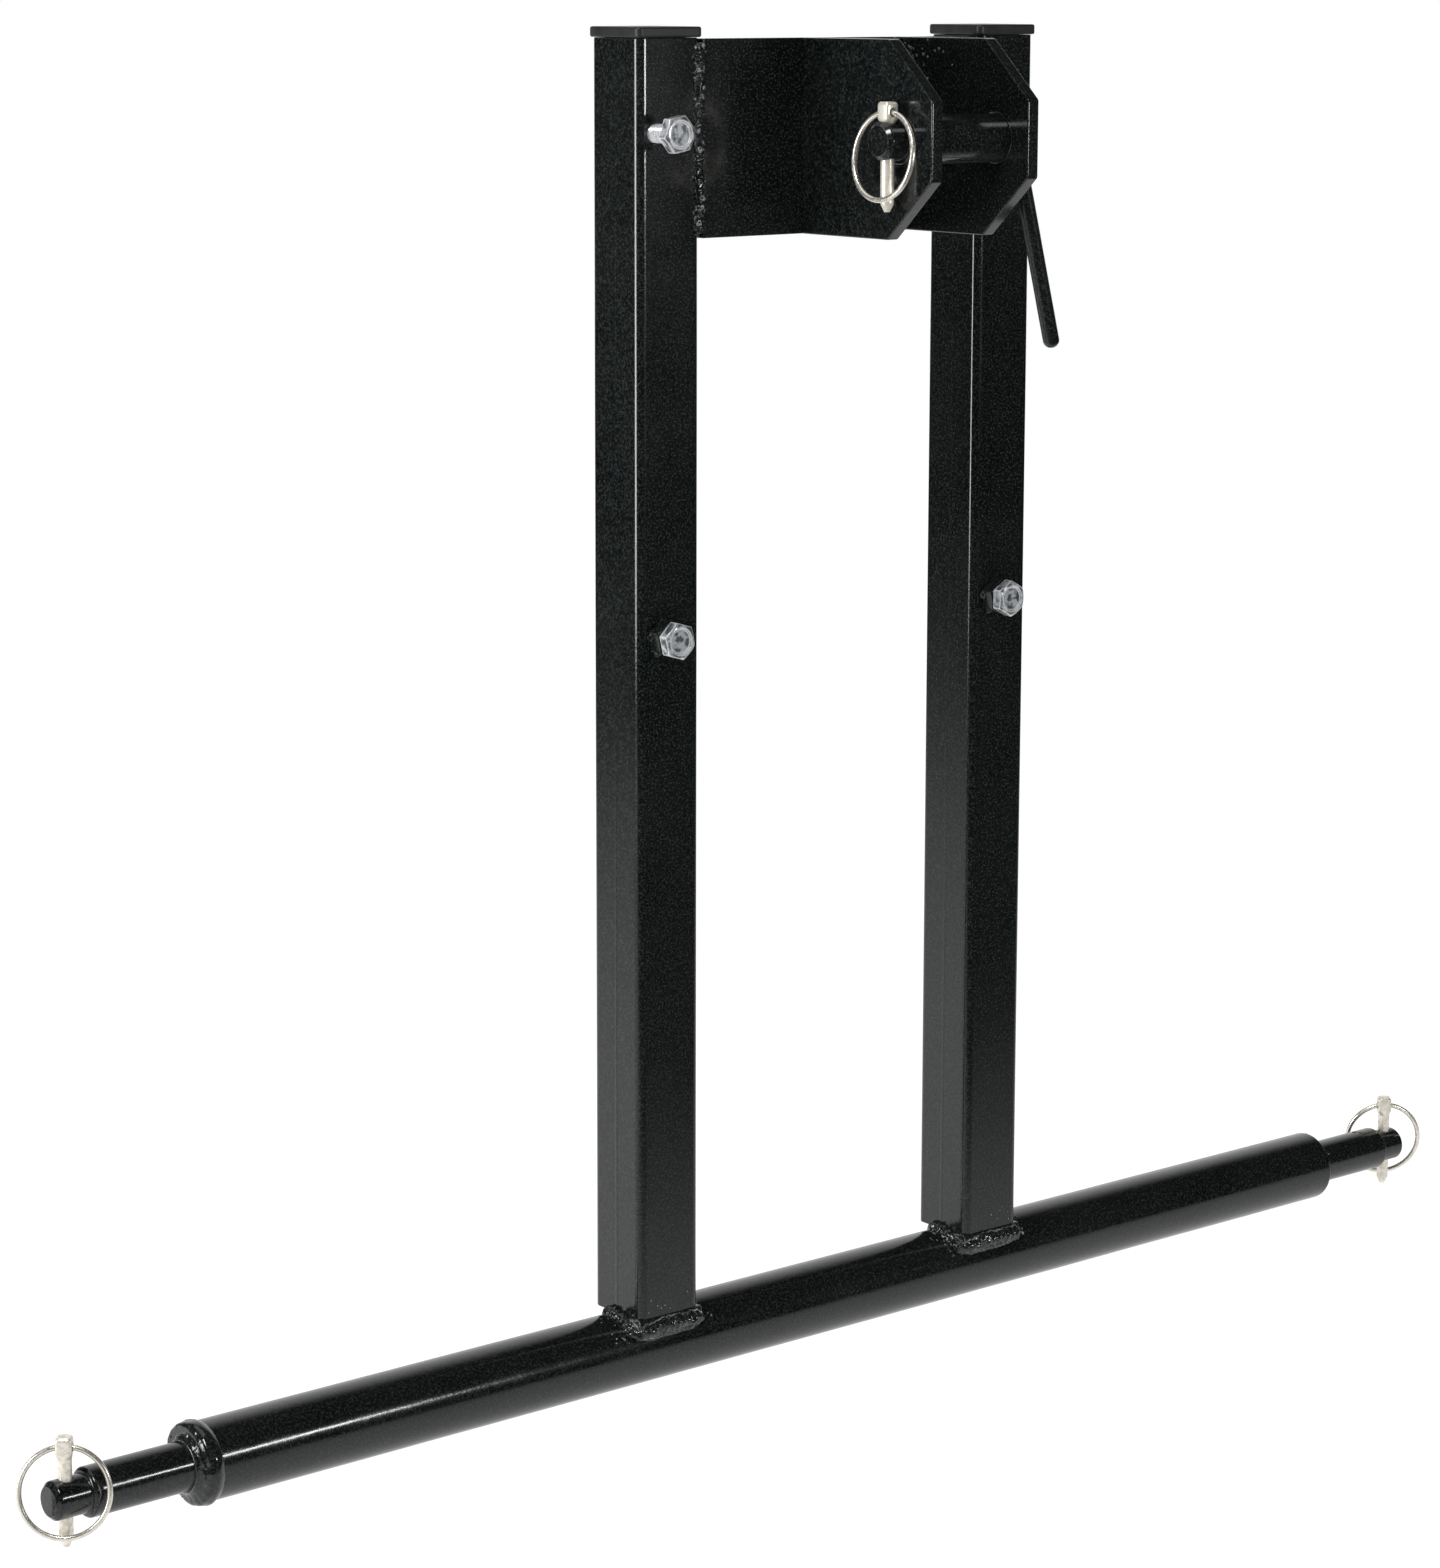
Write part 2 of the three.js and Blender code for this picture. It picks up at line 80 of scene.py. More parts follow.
# Sizes that the frame's boxes don't give, in millimetres
TUBE_BORE_R = 8.05
PIN_TIP_R = 6.2
PIN_TIP_LENGTH = 12.0
UPRIGHT_WALL = 3.0
UPRIGHT_CORNER = 3.0
SEAM_HALF = 0.9
SEAM_DEPTH = 0.09
CAP_LID = 3.4
CAP_OVERHANG = 0.6
CAP_PLUG_GAP = 0.5
EAR_CHAMFER_RUN = 21.0
EAR_CHAMFER_DROP = 19.4
BOLT_R = 3.1
THREAD_PITCH = 1.27
BOLT_HEAD_AF = 11.1
BOLT_HEAD_THICKNESS = 4.0
BOLT_DISH = 0.5
THREAD_DEPTH = 0.5
NUT_TURN_DEG = 22.0
BOLT_TURN_DEG = {
    "left_mid_bolt": 17.0,
    "right_mid_bolt": 30.0,
    "left_upper_bolt": -10.0,
    "right_upper_bolt": -10.0,
}
HANDLE_R = 2.75
HANDLE_BEND = 3.4
HANDLE_SPLAY_DEG = 15.0
LYNCH_R = 2.2
LYNCH_HEAD_R = 2.9
LYNCH_TOP = 19.5
LYNCH_NECK = 14.0
LYNCH_SHOULDER = 1.4
LYNCH_TIP = -15.5
RING_PIVOT = 16.2
RING_RADIUS = 14.0
RING_WIRE_R = 0.9
RING_LEAN_DEG = 7.4
LOWER_YAW_DEG = -39.0
TOP_YAW_DEG = -90.0
HOLE_GAP = 0.3
WELD_DEPTH = 3.2
WRAPPED_WELD_LENGTH = 6

BODY_OF = {
    node: body
    for body, nodes in frame["record"]["behaviour"]["bodies"].items()
    for node in nodes
}


def mm_box(node):
    low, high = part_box(node)
    return low / MM, high / MM


# ---------------------------------------------------------------- camera

CAMERA_AT = (-0.8735, -1.0193, 0.4551)
CAMERA_YAW_DEG = 39.20
CAMERA_PITCH_DEG = 9.37
CAMERA_ROLL_DEG = 0.13
CAMERA_LENS = 91.57
CAMERA_SHIFT_Y = -0.092


def make_camera():
    data = bpy.data.cameras.new("camera")
    data.sensor_width = 36.0
    data.lens = CAMERA_LENS
    data.shift_y = CAMERA_SHIFT_Y
    data.clip_start = 0.02
    data.clip_end = 200.0
    camera = bpy.data.objects.new("camera", data)
    bpy.context.scene.collection.objects.link(camera)
    yaw, pitch = math.radians(CAMERA_YAW_DEG), math.radians(CAMERA_PITCH_DEG)
    forward = Vector((math.cos(pitch) * math.sin(yaw), math.cos(pitch) * math.cos(yaw), -math.sin(pitch)))
    right = forward.cross(Vector((0, 0, 1))).normalized()
    up = right.cross(forward)
    turn = Matrix((right, up, -forward)).transposed().to_4x4()
    roll = Matrix.Rotation(math.radians(CAMERA_ROLL_DEG), 4, "Z")
    camera.matrix_world = Matrix.Translation(CAMERA_AT) @ turn @ roll
    bpy.context.scene.camera = camera


make_camera()

# ---------------------------------------------------------------- shapes: (points, faces) in millimetres


def skin(rows, wrap=False):
    """Joins equal rings of points. The two end rings are closed off flat, unless the last joins the first."""
    count = len(rows[0])
    points = [p for row in rows for p in row]
    faces = []
    for i in range(len(rows) if wrap else len(rows) - 1):
        a, b = i * count, (i + 1) % len(rows) * count
        for j in range(count):
            k = (j + 1) % count
            faces.append((a + j, a + k, b + k, b + j))
    if not wrap:
        faces.append(tuple(range(count))[::-1])
        faces.append(tuple(range((len(rows) - 1) * count, len(rows) * count)))
    return points, faces


def combine(*shapes):
    points, faces = [], []
    for some_points, some_faces in shapes:
        start = len(points)
        points.extend(some_points)
        faces.extend(tuple(start + i for i in face) for face in some_faces)
    return points, faces


def moved(shape, matrix):
    points, faces = shape
    return [matrix @ Vector(p) for p in points], faces


def softened(points, radius, steps=5, closed=False):
    """Rounds the corners of a flat line of points; a corner takes at most `radius` off each side."""
    count = len(points)
    out = []
    for i, p in enumerate(points):
        if not closed and i in (0, count - 1):
            out.append(p)
            continue
        here, before, after = Vector(p), Vector(points[i - 1]), Vector(points[(i + 1) % count])
        back = min(radius, 0.48 * (here - before).length)
        ahead = min(radius, 0.48 * (after - here).length)
        start = here + (before - here).normalized() * back
        end = here + (after - here).normalized() * ahead
        for k in range(steps + 1):
            t = k / steps
            q = start * (1 - t) ** 2 + here * 2 * t * (1 - t) + end * t ** 2
            out.append(tuple(q))
    return out


def inset(points, distance):
    """A closed outline, moved inwards by `distance`."""
    count = len(points)
    area = sum(points[i - 1][0] * points[i][1] - points[i][0] * points[i - 1][1] for i in range(count))
    sign = 1 if area > 0 else -1
    out = []
    for i in range(count):
        here = Vector(points[i])
        one = (here - Vector(points[i - 1])).normalized()
        two = (Vector(points[(i + 1) % count]) - here).normalized()
        side_one, side_two = Vector((-one.y, one.x)) * sign, Vector((-two.y, two.x)) * sign
        middle = (side_one + side_two).normalized()
        out.append(tuple(here + middle * distance / max(0.4, middle.dot(side_one))))
    return out


def slab(outline, depth, place, rim=0.5, steps=4):
    """A flat outline given a depth, with both rims rounded. place(u, v, w) gives the point in space."""
    levels = []
    for k in range(steps + 1):
        a = math.pi / 2 * k / steps
        levels.append((rim * (1 - math.sin(a)), rim * (1 - math.cos(a))))
    rows = [[place(u, v, w) for u, v in inset(outline, d)] for d, w in levels]
    rows += [[place(u, v, depth - w) for u, v in inset(outline, d)] for d, w in reversed(levels)]
    return skin(rows)


AXES = {
    "X": lambda h, a, b: Vector((h, a, b)),
    "Y": lambda h, a, b: Vector((b, h, a)),
    "Z": lambda h, a, b: Vector((a, b, h)),
}


def turned(profile, axis, sides=96, wrap=False, shape=None):
    """A line of (distance along the axis, radius) turned about that axis; shape(h, r, angle) may change r."""
    place = AXES[axis]
    rows = []
    for h, r in profile:
        row = []
        for j in range(sides):
            a = 2 * math.pi * j / sides
            hh, rr = shape(h, r, a) if shape else (h, r)
            row.append(place(hh, rr * math.cos(a), rr * math.sin(a)))
        rows.append(row)
    return skin(rows, wrap)


def rounded_square(cx, cy, size, corner, steps=10):
    h = size / 2
    points = []
    for k, (sx, sy) in enumerate([(1, -1), (1, 1), (-1, 1), (-1, -1)]):
        for i in range(steps + 1):
            a = math.radians(90 * (k - 1) + 90 * i / steps)
            x = cx + sx * (h - corner) + corner * math.cos(a)
            y = cy + sy * (h - corner) + corner * math.sin(a)
            points.append((x, y))
    return points


def hexagon_radius(angle, across_flats, sharpness=60):
    """The radius of a hexagon with slightly rounded corners."""
    total = sum(abs(math.cos(angle - math.radians(60 * k))) ** sharpness for k in range(3))
    return across_flats / 2 / total ** (1 / sharpness)


def hexagon_block(across_flats, thickness, turn_deg, dish=0.0, sides=120):
    """A hexagon about Y from 0 back to `thickness`, its front corners turned off at 30 degrees."""
    circle = across_flats / 2 * 0.93
    slope = math.tan(math.radians(30))
    turn = math.radians(turn_deg)
    rows = []
    for level in ("back_in", "back", "back_up", "front_low", "front", "face", "dish_edge", "dish"):
        row = []
        for j in range(sides):
            a = 2 * math.pi * j / sides
            full = hexagon_radius(a, across_flats)
            lip = (full - circle) * slope
            r, y = {
                "back_in": (across_flats / 2 * 0.9, thickness),
                "back": (full - 0.35, thickness),
                "back_up": (full, thickness - 0.3),
                "front_low": (full, lip + 0.12),
                "front": (full - 0.1, lip),
                "face": (circle, 0.0),
                "dish_edge": (circle * 0.86, 0.0),
                "dish": (circle * 0.76, dish),
            }[level]
            row.append(Vector((r * math.sin(a + turn), y, r * math.cos(a + turn))))
        rows.append(row)
    return skin(rows)


def sweep(path, radius, sides=20, up=Vector((0, 1, 0)), closed=False):
    """A round rod along a line of points. radius is a number or a function of the point's number."""
    rows = []
    count = len(path)
    for i, p in enumerate(path):
        before = path[i - 1] if closed or i else path[0]
        after = path[(i + 1) % count] if closed or i < count - 1 else path[-1]
        along = (after - before).normalized()
        side = up.cross(along).normalized()
        top = along.cross(side)
        r = radius(i) if callable(radius) else radius
        turns = [2 * math.pi * j / sides for j in range(sides)]
        rows.append([p + side * (r * math.cos(a)) + top * (r * math.sin(a)) for a in turns])
    return skin(rows, closed)


def even_steps(corners, step, rounds=3):
    """A smooth line through rounded-off corners, as points about `step` apart."""
    line = [Vector(p) for p in corners]
    for _ in range(rounds):
        cut = [line[0]]
        for a, b in zip(line, line[1:]):
            cut += [a * 0.75 + b * 0.25, a * 0.25 + b * 0.75]
        line = cut + [line[-1]]
    out, left = [line[0]], step
    for a, b in zip(line, line[1:]):
        length = (b - a).length
        at = left
        while at < length:
            out.append(a.lerp(b, at / length))
            at += step
        left = at - length
    return out


def bead(path, outward, half_width, height, seed, pitch=1.9, sides=18, lumps=0.14, lump_step=0.6):
    """A weld bead: overlapping crescents along a line, uneven in width and height, tapered at its ends."""
    rows = []
    step = (path[1] - path[0]).length
    count = len(path)
    for i, p in enumerate(path):
        along = (path[min(i + 1, count - 1)] - path[max(i - 1, 0)]).normalized()
        normal = outward(p)
        normal = (normal - along * normal.dot(along)).normalized()
        side = along.cross(normal)
        travelled = i * step
        ends = min(travelled, (count - 1 - i) * step)
        taper = 0.45 + 0.55 * min(1.0, ends / 2.2) ** 0.5
        wander = noise.noise(Vector((travelled * 0.21, seed, 0.0)))
        row = []
        for j in range(sides):
            a = 2 * math.pi * j / sides
            c, s = math.cos(a), math.sin(a)
            saw = (travelled / pitch + 0.45 * c * c + 0.3 * wander) % 1.0
            ripple = 0.20 * (saw - 0.5) if s > -0.2 else 0.0
            lump = lumps * noise.noise(Vector((travelled * lump_step, c * 1.4, seed + s)))
            grow = taper * (1 + ripple + lump + 0.16 * wander)
            row.append(p + side * (half_width * grow * c) + normal * (height * grow * s))
        rows.append(row)
    return skin(rows)


def nib(at, normal, size, squash=0.6, sides=10, rings=5):
    """A drop of spatter: a flattened ball half sunk in the surface."""
    normal = normal.normalized()
    side = normal.orthogonal().normalized()
    other = normal.cross(side)
    rows = []
    for k in range(1, rings):
        lift, reach = -math.cos(math.pi * k / rings), math.sin(math.pi * k / rings)
        turns = [2 * math.pi * j / sides for j in range(sides)]
        rows.append([
            at + normal * (size * squash * lift) + (side * math.cos(a) + other * math.sin(a)) * (size * reach)
            for a in turns
        ])
    return skin(rows)


def threaded_rod(radius, depth, start, end, blend=1.0, sides=36):
    """A screw thread about Y from start to end, with a chamfered end."""
    rows = []
    steps = int((end - start) / THREAD_PITCH * 10)
    for i in range(steps + 1):
        h = start + (end - start) * i / steps
        fade = max(0.0, min(1.0, (h - start) / blend, (end - h) / blend))
        tip = max(0.0, 1.0 - (end - h)) * 0.9
        row = []
        for j in range(sides):
            a = 2 * math.pi * j / sides
            phase = (h / THREAD_PITCH - j / sides) % 1.0
            groove = max(0.0, min(1.0, 1.25 * (1 - abs(2 * phase - 1)) - 0.1))
            r = radius - depth * groove * fade - tip
            row.append(Vector((r * math.sin(a), h, r * math.cos(a))))
        rows.append(row)
    return skin(rows)


# ---------------------------------------------------------------- objects


def make_object(name, shape):
    points, faces = shape
    mesh = bpy.data.meshes.new(name)
    mesh.from_pydata([Vector(p) * MM for p in points], [], faces)
    work = bmesh.new()
    work.from_mesh(mesh)
    bmesh.ops.recalc_face_normals(work, faces=work.faces)
    work.to_mesh(mesh)
    work.free()
    obj = bpy.data.objects.new(name, mesh)
    bpy.context.scene.collection.objects.link(obj)
    return obj


def cut_away(obj, shape):
    """Takes a shape out of an object."""
    tool = make_object("cutter", shape)
    step = obj.modifiers.new("cut", "BOOLEAN")
    step.solver = "EXACT"
    step.operation = "DIFFERENCE"
    step.object = tool
    graph = bpy.context.evaluated_depsgraph_get()
    result = bpy.data.meshes.new_from_object(obj.evaluated_get(graph))
    obj.modifiers.clear()
    obj.data = result
    bpy.data.objects.remove(tool)


def drill(at, axis, radius, start, end, sides=48):
    """A cylinder to cut away, along an axis through a point."""
    shape = turned([(start, radius), (end, radius)], axis, sides)
    return moved(shape, Matrix.Translation(at))


def stand_in(obj, node, material, smooth_deg=38.0):
    """Finishes a detailed piece and puts it in the place of its CAD node."""
    obj.data.materials.clear()
    obj.data.materials.append(material)
    obj.data.shade_smooth()
    obj.data.set_sharp_from_angle(angle=math.radians(smooth_deg))
    even = obj.modifiers.new("even_shading", "WEIGHTED_NORMAL")
    even.keep_sharp = True
    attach(obj, BODY_OF[node])
    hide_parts(node)


# ---------------------------------------------------------------- materials


class Shader:
    """A Principled material under construction, with its patterns in the object's own metres."""

    def __init__(self, name, slot):
        self.material = bpy.data.materials.new(name)
        self.material["slot"] = slot
        self.material.use_nodes = True
        self.tree = self.material.node_tree
        self.bsdf = self.tree.nodes["Principled BSDF"]
        self.place = self.tree.nodes.new("ShaderNodeTexCoord").outputs["Object"]

    def node(self, kind, links=None, **settings):
        made = self.tree.nodes.new(kind)
        for key, value in settings.items():
            setattr(made, key, value)
        for socket, value in (links or {}).items():
            if isinstance(value, bpy.types.NodeSocket):
                self.tree.links.new(value, made.inputs[socket])
            else:
                made.inputs[socket].default_value = value
        return made

    def noise(self, scale, detail=3.0, rough=0.5, stretch=None):
        place = self.place
        if stretch:
            place = self.node("ShaderNodeMapping", {"Vector": place, "Scale": stretch}).outputs[0]
        return self.node(
            "ShaderNodeTexNoise", {"Vector": place, "Scale": scale, "Detail": detail, "Roughness": rough}
        ).outputs["Fac"]

    def spread(self, value, low, high, to_low, to_high):
        """Maps a value from one range to another, and holds it at the ends."""
        links = {"Value": value, "From Min": low, "From Max": high, "To Min": to_low, "To Max": to_high}
        return self.node("ShaderNodeMapRange", links).outputs["Result"]

    def math(self, kind, one, two):
        return self.node("ShaderNodeMath", {0: one, 1: two}, operation=kind).outputs[0]

    def mix(self, share, one, two):
        made = self.node("ShaderNodeMix", {"Factor": share}, data_type="RGBA")
        for socket, value in ((made.inputs[6], one), (made.inputs[7], two)):
            if isinstance(value, bpy.types.NodeSocket):
                self.tree.links.new(value, socket)
            else:
                socket.default_value = (*value, 1.0)
        return made.outputs[2]

    def edges(self, radius, low=0.02, high=0.3):
        """One along outer and inner edges, fading to nothing on flat faces."""
        soft = self.node("ShaderNodeBevel", {"Radius": radius}, samples=6).outputs[0]
        true = self.node("ShaderNodeNewGeometry").outputs["Normal"]
        dot = self.node("ShaderNodeVectorMath", {0: soft, 1: true}, operation="DOT_PRODUCT").outputs["Value"]
        return self.spread(self.math("SUBTRACT", 1.0, dot), low, high, 0.0, 1.0)

    def bump(self, layers):
        """Stacks (height, strength, distance in metres) layers of bump."""
        normal = None
        for height, strength, distance in layers:
            links = {"Height": height, "Strength": strength, "Distance": distance}
            if normal is not None:
                links["Normal"] = normal
            normal = self.node("ShaderNodeBump", links).outputs[0]
        self.tree.links.new(normal, self.bsdf.inputs["Normal"])

    def set(self, **values):
        for key, value in values.items():
            socket = self.bsdf.inputs[key.replace("_", " ")]
            if isinstance(value, bpy.types.NodeSocket):
                self.tree.links.new(value, socket)
            elif isinstance(value, tuple):
                socket.default_value = (*value, 1.0)
            else:
                socket.default_value = value


# How far the paint's thinning and painted edge highlight, and the zinc's painted edge highlight, reach in
# from an edge, in metres
PAINT_EDGE = 0.0007
ZINC_HIGHLIGHT_EDGE = 0.0008
FLECK_BRIGHTNESS = 5.0
RUBBED_ROUGHNESS = 0.12


def painted_steel(name, slot, dark, light, gloss, peel, worn_and_highlight, bare_and_highlight, edge_range):
    """Sprayed black enamel: orange peel, soft mottling, fine flecks, and paint rubbed thin on the edges,
    lighter there partly from the thinning and partly as painted highlight: bright edge lines and glints on
    weld ripples.
    """
    s = Shader(name, slot)
    mottle = s.spread(s.noise(26.0, 4.0, 0.6), 0.35, 0.68, 0.0, 1.0)
    grain = s.noise(1350.0, 3.0, 0.6)
    peel_height = s.noise(620.0, 1.5, 0.45)
    wave = s.noise(140.0, 2.0, 0.5)
    streak = s.noise(60.0, 3.0, 0.6, stretch=(1.0, 1.0, 0.12))
    wear_and_glint_patches = s.spread(s.noise(210.0, 3.0, 0.7), 0.45, 0.62, 0.15, 1.0)
    # painted highlight as well as paint rubbed thin: edges and weld ripples take the pale colour in patches,
    # standing in for bright edge lines and glints
    rub_and_highlight = s.math("MULTIPLY", s.edges(PAINT_EDGE, *edge_range), wear_and_glint_patches)
    body = s.mix(mottle, dark, light)
    fleck = tuple(FLECK_BRIGHTNESS * c for c in light)
    speckled = s.mix(s.spread(grain, 0.46, 0.68, 0.0, 1.0), body, fleck)
    s.set(Base_Color=s.mix(s.math("MULTIPLY", rub_and_highlight, worn_and_highlight), speckled, bare_and_highlight))
    cloudy = s.spread(mottle, 0.0, 1.0, gloss, gloss + 0.06)
    rough = s.math("ADD", cloudy, s.spread(streak, 0.4, 0.7, 0.0, 0.04))
    s.set(Roughness=s.math("ADD", rough, s.math("MULTIPLY", rub_and_highlight, RUBBED_ROUGHNESS)))
    s.set(Specular_IOR_Level=0.5, Coat_Weight=0.12, Coat_Roughness=0.08)
    s.bump([(wave, 0.25, 0.00012), (peel_height, peel, 0.00006), (grain, 0.35, 0.00002)])
    return s.material


def zinc_plate(name, slot, bright, dull, rim, gloss, metal, patches, edge_range):
    """Electroplated zinc: fine cloudy crystals, hairline scratches, and a painted highlight: near-white
    colour on the edges and thread crests, with the cloudy film between them.
    """
    s = Shader(name, slot)
    cloud = s.spread(s.noise(patches, 3.0, 0.6), 0.44, 0.57, 0.0, 1.0)
    crystal = s.node("ShaderNodeTexVoronoi", {"Vector": s.place, "Scale": 1400.0}).outputs["Distance"]
    scratch = s.noise(900.0, 2.0, 0.6, stretch=(1.0, 1.0, 0.15))
    edge = s.edges(ZINC_HIGHLIGHT_EDGE, *edge_range)
    film = s.mix(cloud, bright, dull)
    # painted highlight: edges and thread crests take the near-white rim colour
    s.set(Base_Color=s.mix(s.math("MULTIPLY", edge, 0.95), film, rim))
    cloudy = s.spread(cloud, 0.0, 1.0, gloss, gloss + 0.12)
    rough = s.math("ADD", cloudy, s.spread(scratch, 0.45, 0.7, 0.0, 0.08))
    s.set(Roughness=rough, Metallic=metal)
    s.bump([(crystal, 0.25, 0.00003), (scratch, 0.3, 0.00002)])
    return s.material


def moulded_cap(name, slot):
    """Push-in end cap: matt black plastic with a fine spark-eroded grain, scuffed along its rim."""
    s = Shader(name, slot)
    grain = s.noise(2600.0, 2.0, 0.5)
    mottle = s.noise(90.0, 3.0, 0.6)
    scuff = s.math("MULTIPLY", s.edges(0.0009), s.spread(s.noise(260.0, 3.0, 0.7), 0.48, 0.62, 0.0, 1.0))
    plastic = s.mix(s.spread(mottle, 0.35, 0.65, 0.0, 1.0), (0.010, 0.0105, 0.011), (0.019, 0.0195, 0.020))
    s.set(Base_Color=s.mix(s.math("MULTIPLY", scuff, 0.5), plastic, (0.09, 0.09, 0.09)))
    s.set(Roughness=s.spread(mottle, 0.3, 0.7, 0.38, 0.5), Specular_IOR_Level=0.45)
    s.bump([(grain, 0.5, 0.00003)])
    return s.material


# the pale grey colour of each is metal showing through and also a painted highlight on edges; on the weld it
# stands in for glints on the bead
BLACK = painted_steel("black_enamel", "black_paint", (0.0020, 0.0026, 0.0027), (0.0048, 0.0057, 0.0055),
                      0.11, 0.35, 0.9, (0.16, 0.165, 0.17), (0.02, 0.14))
WELD = painted_steel("enamel_over_weld", "weld_paint", (0.003, 0.0036, 0.0038), (0.007, 0.008, 0.008),
                     0.07, 0.2, 0.85, (0.5, 0.51, 0.52), (0.012, 0.09))
CAP = moulded_cap("cap_plastic", "cap_black")
# the near-white rim colour of each is a painted highlight on the edges of bolts, pins and rings
ZINC = zinc_plate("bright_zinc", "zinc", (0.52, 0.54, 0.56), (0.08, 0.09, 0.10), (0.97, 0.98, 1.0),
                  0.16, 0.4, 430.0, (0.004, 0.028))
PALE = zinc_plate("yellowed_zinc", "pale_zinc", (0.92, 0.88, 0.79), (0.76, 0.71, 0.60), (1.0, 0.97, 0.89),
                  0.32, 0.55, 640.0, (0.01, 0.16))
WIRE = zinc_plate("yellowed_wire", "pale_zinc", (0.90, 0.86, 0.78), (0.78, 0.74, 0.66), (0.98, 0.95, 0.88),
                  0.22, 0.85, 640.0, (0.01, 0.16))

# ---------------------------------------------------------------- cross tube, hitch pins and their welds

TUBE_R = mm_box("cross_tube")[1].z
PIN_ROOT_R = mm_box("left_hitch_pin")[1].z + 0.02


def cross_tube():
    low, high = mm_box("cross_tube")
    r = high.z
    outside = softened([(low.x, TUBE_BORE_R), (low.x, r), (high.x, r), (high.x, TUBE_BORE_R)], 0.9)
    stations = [low.x + (high.x - low.x) * k / 60 for k in range(2, 59)]
    half = len(outside) // 2
    profile = outside[:half] + [(x, r) for x in stations] + outside[half:]

    def out_of_true(h, radius, a):
        return h, radius + 0.05 * noise.noise(Vector((h * 0.02, math.cos(a), math.sin(a))))

    shape = turned(profile, "X", 128, True, out_of_true)
    stand_in(make_object("cross_tube_steel", shape), "cross_tube", BLACK)


def hitch_pin(word, side):
    node = word + "_hitch_pin"
    low, high = mm_box(node)
    r = high.z
    inner, tip = (high.x, low.x) if side < 0 else (low.x, high.x)
    step = tip - side * PIN_TIP_LENGTH
    profile = softened([
        (inner, r - 1),
        (inner, r),
        (step - side * 0.9, r),
        (step, r - 0.9),
        (step, PIN_TIP_R),
        (tip - side * 1.5, PIN_TIP_R),
        (tip, PIN_TIP_R - 1.5),
    ], 0.5)
    obj = make_object(node + "_steel", turned(profile, "X", 112))
    cross = tip - side * PIN_TIP_LENGTH / 2
    cut_away(obj, drill((cross, 0, 0), "Z", LYNCH_R + HOLE_GAP, -r - 2, r + 2))
    stand_in(obj, node, BLACK)


def pin_weld(word, side):
    node = word + "_pin_weld"
    low, high = mm_box(node)
    root = PIN_ROOT_R
    rim = high.z
    near, far = (high.x, low.x) if side < 0 else (low.x, high.x)
    length = abs(far - near)
    wrapped = length > WRAPPED_WELD_LENGTH
    face = far - side * WELD_DEPTH
    if wrapped:
        line = [
            (far, root), (face + side * 1.9, root + 1.1), (face + side * 1.2, root + 2.6),
            (face + side, rim - 2.0), (face + side * 0.3, rim - 0.7), (face - side * 1.6, rim - 0.1),
            (face - side * 3.4, rim - 0.25), (near + side * 0.5, rim - 0.9), (near, rim - 1.3), (face, root),
        ]
    else:
        line = [
            (far, root), (face + side * 1.7, root + 1.2), (face + side * 0.7, root + 3.0), (face, rim),
            (face, root),
        ]

    def laid(h, r, a):
        c, s = math.cos(a), math.sin(a)
        beat = (a / (2 * math.pi) * 21 + 0.5 * r / rim) % 1.0
        lump = noise.noise(Vector((c * 2.2, s * 2.2, h * 0.5)))
        outer = max(0.0, (r - root) / (rim - root))
        push = (0.22 * (beat - 0.5) + 0.5 * lump) * min(1.0, 2.2 * outer)
        out = h + side * push * 0.7
        if wrapped and c > -0.1 and 0.35 < s < 1.0 and outer > 0.3:
            flat = face + side * 0.9
            out = min(out, flat) if side > 0 else max(out, flat)
        return out, min(r + 0.35 * lump * outer, rim)

    shape = turned(softened(line, 0.9, 4, True), "X", 168, True, laid)
    drops = []
    chance = random.Random(7 + side)
    for _ in range(9):
        a = chance.uniform(0, 2 * math.pi)
        r = chance.uniform(root + 1.5, TUBE_R - 0.6)
        at = Vector((face + side * 1.1, r * math.cos(a), r * math.sin(a)))
        drops.append(nib(at, Vector((side, 0, 0)), chance.uniform(0.25, 0.5)))
    stand_in(make_object(node + "_bead", combine(shape, *drops)), node, WELD)


cross_tube()
for word, side in (("left", -1), ("right", 1)):
    hitch_pin(word, side)
    pin_weld(word, side)

# ---------------------------------------------------------------- uprights, caps and foot welds


